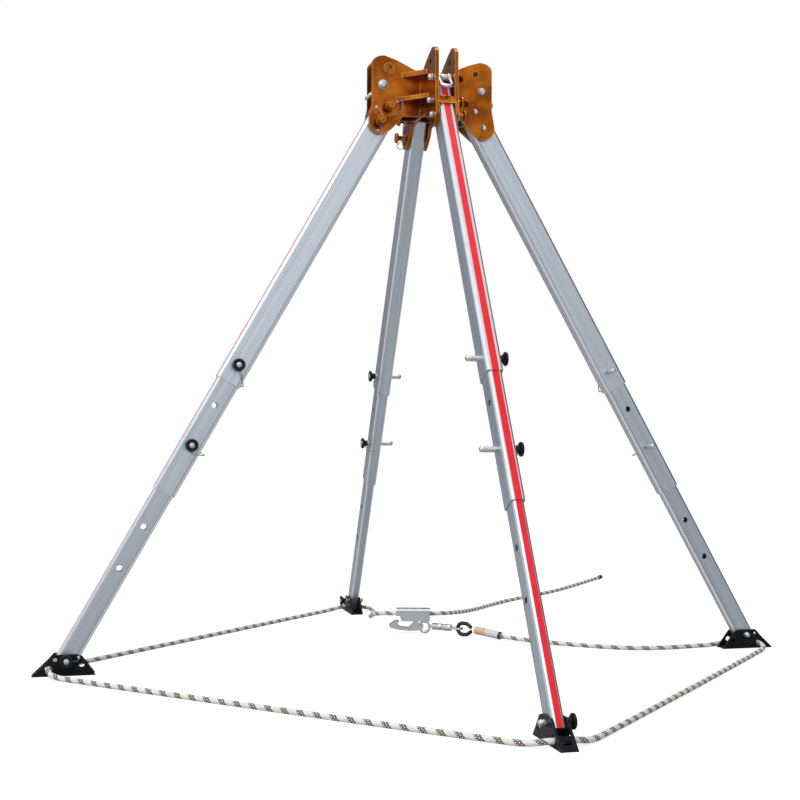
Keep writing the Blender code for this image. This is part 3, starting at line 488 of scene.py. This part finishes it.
VIEW_TURN = math.radians(-15.6)
GRAB = Matrix.Translation((0.069, 0.381, 0)) @ Matrix.Rotation(VIEW_TURN, 4, "Z")
RING_CENTRE = GRAB @ Vector((0.0291, -0.0031, 0.0165))
SLEEVE_END = Vector((0.2523, 0.2237, 0.0105))
RING_TURN = (math.atan2(SLEEVE_END.y - RING_CENTRE.y, SLEEVE_END.x - RING_CENTRE.x) + VIEW_TURN) / 2
CHAIN_HEIGHT, SLEEVE_START = 0.0195, 0.1285
CHAIN_START = RING_CENTRE + 0.013 * Vector((math.cos(RING_TURN), math.sin(RING_TURN), 0))
CHAIN_LENGTH = (SLEEVE_END - CHAIN_START).to_2d().length
CHAIN = (Matrix.Translation((CHAIN_START.x, CHAIN_START.y, CHAIN_HEIGHT)) @ Matrix.Rotation(
    math.atan2(SLEEVE_END.y - CHAIN_START.y, SLEEVE_END.x - CHAIN_START.x), 4, "Z"))
SLEEVE_DROP = math.atan2(CHAIN_HEIGHT - SLEEVE_END.z, CHAIN_LENGTH - SLEEVE_START)
SLEEVE_LENGTH = (CHAIN_LENGTH - SLEEVE_START) / math.cos(SLEEVE_DROP)
SLEEVE = CHAIN @ Matrix.Translation((SLEEVE_START, 0, 0)) @ Matrix.Rotation(SLEEVE_DROP, 4, "Y")


def foot_route(leg):
    side = [(0.790, 0.078, 0.0), (0.8145, 0.047, 0.0025), (0.822, 0.0175, 0.0056)]
    places = [(r, -t, z) for r, t, z in side] + [(r, t, z) for r, t, z in reversed(side)]
    spin = Matrix.Rotation(math.radians(LEGS[leg]), 4, "Z")
    return [spin @ Vector((r, t, z + ROPE_RADIUS)) for r, t, z in places]


def rope_route():
    route = [Vector(at) for at in (
        (1.015, 1.400, 0.0068), (0.741, 1.100, 0.0055), (0.543, 0.930, 0.0055), (0.4463, 0.8342, 0.0065),
        (0.3235, 0.6463, 0.0184), (0.2329, 0.4951, 0.0337), (0.1602, 0.3909, 0.0470))]
    route += [GRAB @ Vector((x, 0, 0.050)) for x in (0.047, 0.030, -0.030, -0.047)]
    route += [Vector(at) for at in (
        (-0.010, 0.430, 0.0455), (-0.012, 0.500, 0.0320), (0.008, 0.600, 0.0140), (0.038, 0.700, 0.0065),
        (0.054, 0.765, 0.0055), (0.049, 0.803, 0.0085))]
    route += foot_route("back")[2:]
    for leg in ("left", "front", "right"):
        route += foot_route(leg)
    route = route[:-2]
    route += [Vector(at) for at in (
        (0.814, 0.043, 0.0080), (0.792, 0.0545, 0.0055), (0.755, 0.042, 0.0055), (0.700, 0.019, 0.0055),
        (0.520, 0.016, 0.0055), (0.360, 0.123, 0.0055))]
    return route + [SLEEVE @ Vector((SLEEVE_LENGTH + past, 0, 0)) for past in (0.012, -0.0097)]


rope_line = even(smooth(rope_route()), 0.006)
rope = add("braided_rope", sweep(rope_line, ROPE_RADIUS, 20), rope_finish(), "head")
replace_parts(rope, "rope")

zinc, knob_black, amber_finish, black_coat = bright(), black_plastic(), amber(), black_metal()
dull_zinc = bright("dull_zinc", (0.52, 0.53, 0.55), 0.36)

# Turned pieces

SILVER = 1
PIN_TIP = [(0, 0.0), (0.0034, 0.0), (0.0050, 0.0012), (0.0060, 0.0030), (0.0060, 0.0072), (0.0056, 0.0076),
           (0.0056, 0.0084), (0.0060, 0.0088)]


def knob_flutes(height, angle):
    if 0.0142 < height < 0.0199:
        return 1 - 0.055 * (0.5 + 0.5 * math.cos(14 * angle)) ** 2
    if 0.0046 < height < 0.0100:
        return 1 - 0.05 * (0.5 + 0.5 * math.cos(9 * angle)) ** 2
    return 1


def lock_pin(shank):
    """A quick release pin: a silver shank, a black flared knob and a silver button."""
    profile = [(r, z - shank, SILVER) for r, z in PIN_TIP]
    profile += [(0.0060, -0.0002, SILVER), (0.0072, 0.0000, SILVER), (0.0075, 0.0005, SILVER),
                (0.0075, 0.0025, SILVER), (0.0066, 0.0031, SILVER)]
    profile += [(0.0066, 0.0036), (0.0071, 0.0042), (0.0072, 0.0070), (0.0073, 0.0098), (0.0082, 0.0116),
                (0.0108, 0.0138), (0.0132, 0.0148), (0.0139, 0.0158), (0.0141, 0.0172), (0.0139, 0.0188),
                (0.0130, 0.0199), (0.0112, 0.0203), (0.0088, 0.0199), (0.0070, 0.0189), (0.0060, 0.0186)]
    profile += [(0.0060, 0.0186, SILVER), (0.0060, 0.0200, SILVER), (0.0055, 0.0208, SILVER),
                (0.0034, 0.0215, SILVER), (0, 0.0217, SILVER)]
    return lathe(profile, 84, knob_flutes)


def head_pin():
    """A pin through the head: a silver shank, and an amber stem with a round dished head."""
    profile = [(r, z - HEAD_SHANK, SILVER) for r, z in PIN_TIP]
    profile += [(0.0060, -0.0002, SILVER)]
    profile += [(0.0092, 0.0000), (0.0098, 0.0004), (0.0098, 0.0010), (0.0092, 0.0015), (0.0076, 0.0016),
                (0.0074, 0.0020), (0.0074, 0.0042), (0.0070, 0.0050), (0.0060, 0.0053),
                (0.0056, 0.0062), (0.0055, 0.0100), (0.0056, 0.0140), (0.0064, 0.0154), (0.0100, 0.0166),
                (0.0117, 0.0174), (0.0122, 0.0186), (0.0122, 0.0208), (0.0116, 0.0222), (0.0104, 0.0232),
                (0.0080, 0.0235), (0.0062, 0.0230), (0.0054, 0.0220), (0.0048, 0.0220), (0.0046, 0.0228),
                (0.0030, 0.0232), (0, 0.0233)]
    return lathe(profile, 48)


def locking_balls(shank):
    """The two silver locking balls near the tip of a pin's shank."""
    balls = []
    for side in (-1, 1):
        dome = lathe([(0, 0.0016), (0.0006, 0.00152), (0.0011, 0.0012), (0.0015, 0.0006), (0.0016, 0.0)], 12)
        turn = Matrix.Rotation(math.radians(90 * side), 4, "Y")
        balls.append(moved(dome, Matrix.Translation((0.0052 * side, 0, 0.0120 - shank)) @ turn))
    whole = joined(*balls)
    for face in whole.polygons:
        face.material_index = SILVER
    return whole


def hex_nut(radius, height, bore):
    """A six-sided nut with chamfered corners, closed by the end of its bolt."""
    def corners(_, angle):
        within = (math.degrees(angle) + 30) % 60 - 30
        return 1 / math.cos(math.radians(within)) if within else 1
    flat = radius * math.cos(math.radians(30))
    return lathe([(bore, 0), (flat * 0.97, 0), (flat, 0.0005), (flat, height - 0.0005), (flat * 0.95, height),
                  (bore, height), (bore * 0.98, height + 0.0014), (bore * 0.8, height + 0.0020),
                  (0, height + 0.0020)], 48, lambda z, a: corners(z, a) if 0 <= z <= height else 1)


def bolt():
    """The shackle's bolt: a button head with a round socket, a washer, a middle sleeve and a nut."""
    head = lathe([(0.0105, 0), (0.0108, 0.0004), (0.0108, 0.0011), (0.0094, 0.0014), (0.0092, 0.0030),
                  (0.0080, 0.0052), (0.0058, 0.0063), (0.0036, 0.0066), (0.0034, 0.0063), (0.0032, 0.0036),
                  (0, 0.0032)], 36)
    washer = lathe([(0.0050, 0), (0.0080, 0), (0.0083, 0.0004), (0.0083, 0.0010), (0.0080, 0.0014),
                    (0.0050, 0.0014)], 36)
    rod = lathe([(0.0049, -0.0262), (0.0049, 0.0262)], 24)
    sleeve = lathe([(0.0049, -0.0072), (0.0076, -0.0072), (0.0079, -0.0069), (0.0079, 0.0069),
                    (0.0076, 0.0072), (0.0049, 0.0072)], 28)
    far = Matrix.Translation((0, 0, -0.0263)) @ Matrix.Rotation(math.radians(180), 4, "X")
    return joined(moved(head, Matrix.Translation((0, 0, 0.0263))), moved(washer, far), rod, sleeve,
                  moved(hex_nut(0.0074, 0.0062, 0.0042), far @ Matrix.Translation((0, 0, 0.0014))))


def shackle():
    """A forged bow with thick rounded eyes, hanging along -Z from its bolt."""
    bow = [Vector((0, 0.0125, -0.007)), Vector((0, 0.0127, -0.014))]
    bow += [Vector((0, 0.0125 * y, 0.0125 * z - 0.0285)) for y, z in arc(1, 0, -180, 25)]
    bow += [Vector((0, -0.0127, -0.014)), Vector((0, -0.0125, -0.007))]
    thick = [0.0052, 0.0047] + [0.0045] * 25 + [0.0047, 0.0052]
    rim = [(0.0060, 0.0050), (0.0080, 0.0050), (0.0092, 0.0043), (0.0097, 0.0028)]
    eye = lathe([(0.0054, -0.0044), *[(r, -z) for r, z in rim], (0.0098, 0), *reversed(rim), (0.0054, 0.0044),
                 (0.0054, -0.0044)], 36)
    eyes = [moved(eye, Matrix.Translation((0, 0.0125 * side, 0)) @ ACROSS) for side in (-1, 1)]
    return joined(sweep(bow, thick, 20, up=Vector((1, 0, 0))), *eyes)


def wire(points):
    """A thin steel cable of two strands side by side."""
    line = smooth([Vector(at) for at in points], 6)
    strands = []
    for side in (-1, 1):
        shift = Vector((STRAND_APART * side, 0, 0))
        strands.append(sweep([p + shift for p in line], STRAND_RADIUS, 8))
    return joined(*strands)


def wire_finish():
    """Twisted steel strands."""
    s = Shader("cable_finish")
    u, v, _ = s.node("ShaderNodeSeparateXYZ", Vector=s.node("ShaderNodeUVMap").outputs[0]).outputs
    twist = s.math("SINE", s.math("MULTIPLY", s.math("ADD", s.math("MULTIPLY", u, 1 / 0.004),
                                                      s.math("MULTIPLY", v, 6)), 2 * math.pi))
    # Painted shade and highlight: the grooves between the strands are painted dark and their crests light.
    colour = s.mix(s.span(twist, -1, 1), (0.16, 0.16, 0.17), (0.46, 0.46, 0.48))
    colour = s.mix(s.span(s.noise(s.place(), 200, 3), 0.55, 0.75, 0, 0.5), colour, (0.25, 0.24, 0.23))
    s.bump(twist, 0.5, 0.0002)
    return s.finish(colour, 0.32, 0.95)


cable = wire_finish()

EYELET = [(0.0074, -0.0008), (0.0082, -0.0008), (0.0084, -0.0005), (0.0084, 0.0005), (0.0082, 0.0008),
          (0.0074, 0.0008), (0.0074, -0.0008)]
RIVET = [(0.0032, 0), (0.0032, 0.0005), (0.0026, 0.0013), (0.0014, 0.0018), (0, 0.0019)]


def pinned(name, seat, pin, lanyard, parent, finishes, wall=None):
    """Adds a pin in its seat, the eyelet on its stem, its lanyard and the rivet that holds the lanyard.

    The rivet is on the seat's face, or on the leg's inner face when wall gives that face's distance."""
    piece = add(f"{name}_made", pin, finishes, name, seat)
    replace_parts(piece, name)
    line = [Vector(at) for at in lanyard]
    add(f"{name}_eyelet", moved(lathe(EYELET, 32), Matrix.Translation((0, 0, line[0].z))), zinc, name, seat)
    crimp = sweep([line[1], line[1].lerp(line[2], 0.5)], 0.0015, 12)
    add(f"{name}_crimp", crimp, dull_zinc, name, seat)
    rope_piece = add(f"{name}_lanyard", wire(lanyard), cable, None, seat)
    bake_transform(rope_piece)
    rivet_at = Matrix.Translation((line[-1].x, line[-1].y, 0.0))
    if wall:
        inward = Matrix.Rotation(math.radians(-90), 4, "Y")
        rivet_at = Matrix.Translation((-wall, line[-1].y, line[-1].z)) @ inward
    add(f"{name}_rivet", moved(lathe(RIVET, 24), rivet_at), zinc, parent, seat)


lock_shape = joined(lock_pin(LOCK_SHANK), locking_balls(LOCK_SHANK))
foot_shape = joined(lock_pin(FOOT_SHANK), locking_balls(FOOT_SHANK))
head_shape = joined(head_pin(), locking_balls(HEAD_SHANK))
LOWER_LANYARD = [(0.0060, 0.0045, 0.0040), (0.0030, 0.0100, 0.0072), (-0.0080, 0.0130, 0.0080),
                 (-0.0200, 0.0120, 0.0060), (-0.0300, 0.0080, 0.0010), (-0.0350, 0.0050, -0.0060),
                 (-0.0320, 0.0040, -0.0110), (-0.0262, 0.0050, -0.0120)]
UPPER_LANYARD = [(-0.0050, 0.0050, 0.0040), (-0.0110, 0.0110, 0.0100), (-0.0180, 0.0180, 0.0100),
                 (-0.0250, 0.0260, 0.0050), (-0.0305, 0.0320, -0.0010), (-0.0325, 0.0350, -0.0060),
                 (-0.0290, 0.0360, -0.0090)]
FOOT_LANYARD = [(-0.0070, 0.0000, 0.0038), (-0.0110, 0.0005, 0.0070), (-0.0170, 0.0010, 0.0115),
                (-0.0220, 0.0005, 0.0095), (-0.0250, -0.0010, 0.0045), (-0.0255, -0.0030, 0.0012),
                (-0.0250, -0.0045, 0.0007)]
ANGLE_LANYARD = [(-0.0070, -0.0020, 0.0056), (-0.0150, -0.0070, 0.0070), (-0.0240, -0.0115, 0.0100),
                 (-0.0285, -0.0040, 0.0115), (-0.0240, 0.0110, 0.0115), (-0.0100, 0.0215, 0.0100),
                 (0.0080, 0.0235, 0.0070), (0.0220, 0.0150, 0.0035), (0.0290, 0.0040, 0.0007)]
PIVOT_LANYARD = [(0.0010, 0.0070, 0.0056), (0.0015, 0.0120, 0.0150), (0.0020, 0.0190, 0.0185),
                 (0.0030, 0.0245, 0.0140), (0.0040, 0.0245, 0.0060), (0.0045, 0.0215, 0.0014),
                 (0.0045, 0.0200, 0.0007)]

for leg, azimuth in LEGS.items():
    spin = Matrix.Rotation(math.radians(azimuth), 4, "Z")

    def seat(at, side, spin=spin):
        return spin @ at @ Matrix.Translation((0, side + SEAT_GAP, 0)) @ ACROSS

    locks = {"upper": (UPPER_PIN_AT, "outer", UPPER_LANYARD, "upper_section"),
             "lower": (LOWER_PIN_AT, "middle", LOWER_LANYARD, "middle_section")}
    for part_name, (at, tube, lanyard, parent) in locks.items():
        place_of = seat(ON_LEG @ Matrix.Translation((0, 0, -at)), HALF_WIDTH[tube])
        pinned(f"{leg}_{part_name}_lock_pin", place_of, lock_shape.copy(), lanyard,
               f"{leg}_{parent}", [knob_black, zinc], HALF_DEPTH[tube])
    pinned(f"{leg}_foot_pin", seat(Matrix.Translation(FOOT_PIN), HALF_WIDTH["inner"] + FOOT_WALL),
           foot_shape.copy(), FOOT_LANYARD, f"{leg}_foot", [knob_black, zinc])
    pinned(f"{leg}_angle_pin", seat(Matrix.Translation(ANGLE_PIN), PLATE_OUTER),
           head_shape.copy(), ANGLE_LANYARD, "head", [amber_finish, zinc])
    pinned(f"{leg}_pivot_pin", seat(Matrix.Translation(PIVOT), PLATE_OUTER),
           head_shape.copy(), PIVOT_LANYARD, "head", [amber_finish, zinc])
    at_bolt = spin @ Matrix.Translation(BOLT)
    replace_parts(add(f"{leg}_bolt_made", bolt(), zinc, "head", at_bolt @ ACROSS), f"{leg}_shackle_bolt")
    hang = at_bolt @ Matrix.Rotation(-SHACKLE_LEAN, 4, "Y")
    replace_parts(add(f"{leg}_shackle_made", shackle(), zinc, f"{leg}_shackle", hang), f"{leg}_shackle")


# Gear on the rope

sleeve_points = [Vector((SLEEVE_LENGTH * i / 40, 0, 0)) for i in range(41)]
sleeve_radii = []
for i in range(41):
    share = i / 40
    radius = 0.0095 - 0.0006 * share
    if share < 0.03:
        radius -= 0.0022 * (1 - share / 0.03)
    if share > 0.90:
        radius += 0.0005
    if share > 0.985:
        radius -= 0.0014
    sleeve_radii.append(radius)
sleeve = add("label_sleeve", sweep(sleeve_points, sleeve_radii, 36), label_finish(), "head", SLEEVE)
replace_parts(sleeve, "sleeve")

upper = [Vector((x, 0, z)) for x, z in (
    (0.0180, 0.0053), (0.0150, 0.0062), (0.0110, 0.0095), (0.0050, 0.0130))]
bow = [Vector((0.0140 * x - 0.0065, 0, 0.0140 * z)) for x, z in arc(1, 95, 265, 21)]
eye_line = [*upper, *bow, *[Vector((p.x, 0, -p.z)) for p in reversed(upper)]]
eye_shape = sweep(even(smooth(eye_line, 5), 0.0016), 0.0048, 20, up=Vector((0, 1, 0)))
thimble = add("thimble_made", eye_shape, wrap_finish(), "head", CHAIN @ Matrix.Translation((0.1015, 0, 0)))
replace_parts(thimble, "thimble")

ring_line = [Vector((x, 0, z)) for x, z in arc(0.013, 0, 360, 65)[:-1]]
ring_made = add("ring_made", sweep(ring_line, 0.003, 20, closed=True, up=Vector((0, 1, 0))), zinc, "head",
                Matrix.Translation(RING_CENTRE) @ Matrix.Rotation(RING_TURN, 4, "Z"))
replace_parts(ring_made, "ring")


def swivel():
    """A swivel body of two turned halves with a bar loop at each end."""
    start, end, far_arm = 0.0070, 0.0923, 0.0079
    left = [Vector((x + start, y, 0)) for x, y in arc(0.0070, 90, 270, 17)]
    right = [Vector((x + end - far_arm, y, 0)) for x, y in arc(far_arm, -90, 90, 17)]
    loops = [sweep([Vector((0.0110, 0.0070, 0)), *left, Vector((0.0110, -0.0070, 0))], 0.0025, 16),
             sweep([Vector((0.0590, -far_arm, 0)), *right, Vector((0.0590, far_arm, 0))], 0.0025, 16)]
    profile = [(0, 0.0088), (0.0070, 0.0090), (0.0080, 0.0096), (0.0085, 0.0110), (0.0086, 0.0220),
               (0.0081, 0.0224), (0.0081, 0.0236), (0.0086, 0.0240), (0.0085, 0.0346), (0.0079, 0.0356),
               (0.0066, 0.0364), (0.0064, 0.0380), (0.0066, 0.0396), (0.0079, 0.0404), (0.0085, 0.0414),
               (0.0086, 0.0500), (0.0084, 0.0600), (0.0078, 0.0616), (0.0066, 0.0620), (0, 0.0622)]
    body = moved(lathe(profile, 40), Matrix.Rotation(math.radians(90), 4, "Y"))
    return joined(body, *loops)


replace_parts(add("link_made", swivel(), zinc, "head", CHAIN), "link")

back_along = (rope_line[1] - rope_line[0]).to_track_quat("X", "Z").to_matrix().to_4x4()
end_at = Matrix.Translation(rope_line[0]) @ back_along @ Matrix.Translation((0.0097 - 0.030, 0, 0))
end_points = [Vector((0.030 * i / 20, 0, 0)) for i in range(21)]
end_radii = [0.0050, 0.0060, 0.0064, *[0.0066 + 0.00008 * (i % 2) for i in range(16)], 0.0064, 0.0060]
end_wrap = add("rope_end_wrap", sweep(end_points, end_radii, 24), wrap_finish(), "head", end_at)
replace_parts(end_wrap, "rope_end")


# Finishes of the pieces that stay from the frame

def dress(name, finish, bevel=0.0, segments=3):
    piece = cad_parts[name]
    piece.data.materials.clear()
    piece.data.materials.append(finish)
    if bevel:
        soft = piece.modifiers.new("worn_edges", "BEVEL")
        soft.width = bevel
        soft.segments = segments
        soft.limit_method = "ANGLE"
        soft.angle_limit = SHARP_ANGLE
        soft.harden_normals = True
        soft.use_clamp_overlap = True


for leg in LEGS:
    dress(f"{leg}_bracket", amber_finish, 0.0011)
    dress(f"{leg}_foot", black_coat, 0.0007, 2)
    for section, tone in TONE.items():
        dress(f"{leg}_{section}_tube", leg_metal(leg, section, tone))
dress("head_core", amber_finish, 0.0012)
dress("head_top_plate", amber_finish, 0.0010)
dress("grab_body", zinc, 0.0006)
dress("grab_lever", zinc, 0.0005)


# Floor and light

def stage_plane(name, size, height):
    mesh = bpy.data.meshes.new(name)
    corners = [(x * size, y * size, height) for x, y in ((-1, -1), (1, -1), (1, 1), (-1, 1))]
    mesh.from_pydata(corners, [], [(0, 1, 2, 3)])
    plane = bpy.data.objects.new(name, mesh)
    looks.objects.link(plane)
    return plane


floor = stage_plane("floor", 40, -0.0002)
ground = Shader("floor_white")
tree = ground.tree
tree.nodes.remove(ground.out)
output = tree.nodes["Material Output"]
matt = ground.node("ShaderNodeBsdfDiffuse")
matt.inputs["Color"].default_value = (0.50, 0.50, 0.50, 1)
glow = ground.node("ShaderNodeEmission")
rays = ground.node("ShaderNodeLightPath").outputs
ground.feed(glow.inputs["Strength"], ground.math("MULTIPLY", rays["Is Camera Ray"], 0.72))
both = tree.nodes.new("ShaderNodeAddShader")
tree.links.new(matt.outputs[0], both.inputs[0])
tree.links.new(glow.outputs[0], both.inputs[1])
tree.links.new(both.outputs[0], output.inputs["Surface"])
floor.data.materials.append(ground.material)

world = bpy.data.worlds.new("studio")
bpy.context.scene.world = world
world.use_nodes = True
sky = world.node_tree
sky.nodes.clear()
way = sky.nodes.new("ShaderNodeTexCoord")
dot = sky.nodes.new("ShaderNodeVectorMath")
dot.operation = "DOT_PRODUCT"
sky.links.new(way.outputs["Generated"], dot.inputs[0])
dot.inputs[1].default_value = Vector((-0.80, -0.50, 0.32)).normalized()
level = sky.nodes.new("ShaderNodeMapRange")
for socket, number in zip(list(level.inputs)[1:5], (-0.25, 0.42, 0.08, 1.1)):
    socket.default_value = number
sky.links.new(dot.outputs["Value"], level.inputs[0])
shade = sky.nodes.new("ShaderNodeBackground")
shade.inputs["Color"].default_value = (0.93, 0.97, 1.0, 1)
sky.links.new(level.outputs[0], shade.inputs["Strength"])
white = sky.nodes.new("ShaderNodeBackground")
white.inputs["Color"].default_value = (1, 1, 1, 1)
path_kind = sky.nodes.new("ShaderNodeLightPath")
either = sky.nodes.new("ShaderNodeMath")
either.operation = "MAXIMUM"
sky.links.new(path_kind.outputs["Is Camera Ray"], either.inputs[0])
sky.links.new(path_kind.outputs["Is Transmission Ray"], either.inputs[1])
choose = sky.nodes.new("ShaderNodeMixShader")
sky.links.new(either.outputs[0], choose.inputs[0])
sky.links.new(shade.outputs[0], choose.inputs[1])
sky.links.new(white.outputs[0], choose.inputs[2])
final = sky.nodes.new("ShaderNodeOutputWorld")
sky.links.new(choose.outputs[0], final.inputs["Surface"])


def lamp(name, place, target, size, power):
    light = bpy.data.lights.new(name, "AREA")
    light.shape = "DISK"
    light.size = size
    light.energy = power
    lit = bpy.data.objects.new(name, light)
    looks.objects.link(lit)
    lit.location = place
    lit.rotation_euler = (Vector(target) - Vector(place)).to_track_quat("-Z", "Y").to_euler()
    lit.visible_camera = False


lamp("key", (-2.6, -3.0, 3.6), (0, 0, 0.6), 1.8, 36)
lamp("top", (0.6, 0.4, 4.2), (0, 0, 0.6), 2.6, 45)

bpy.context.scene.view_settings.view_transform = "Standard"
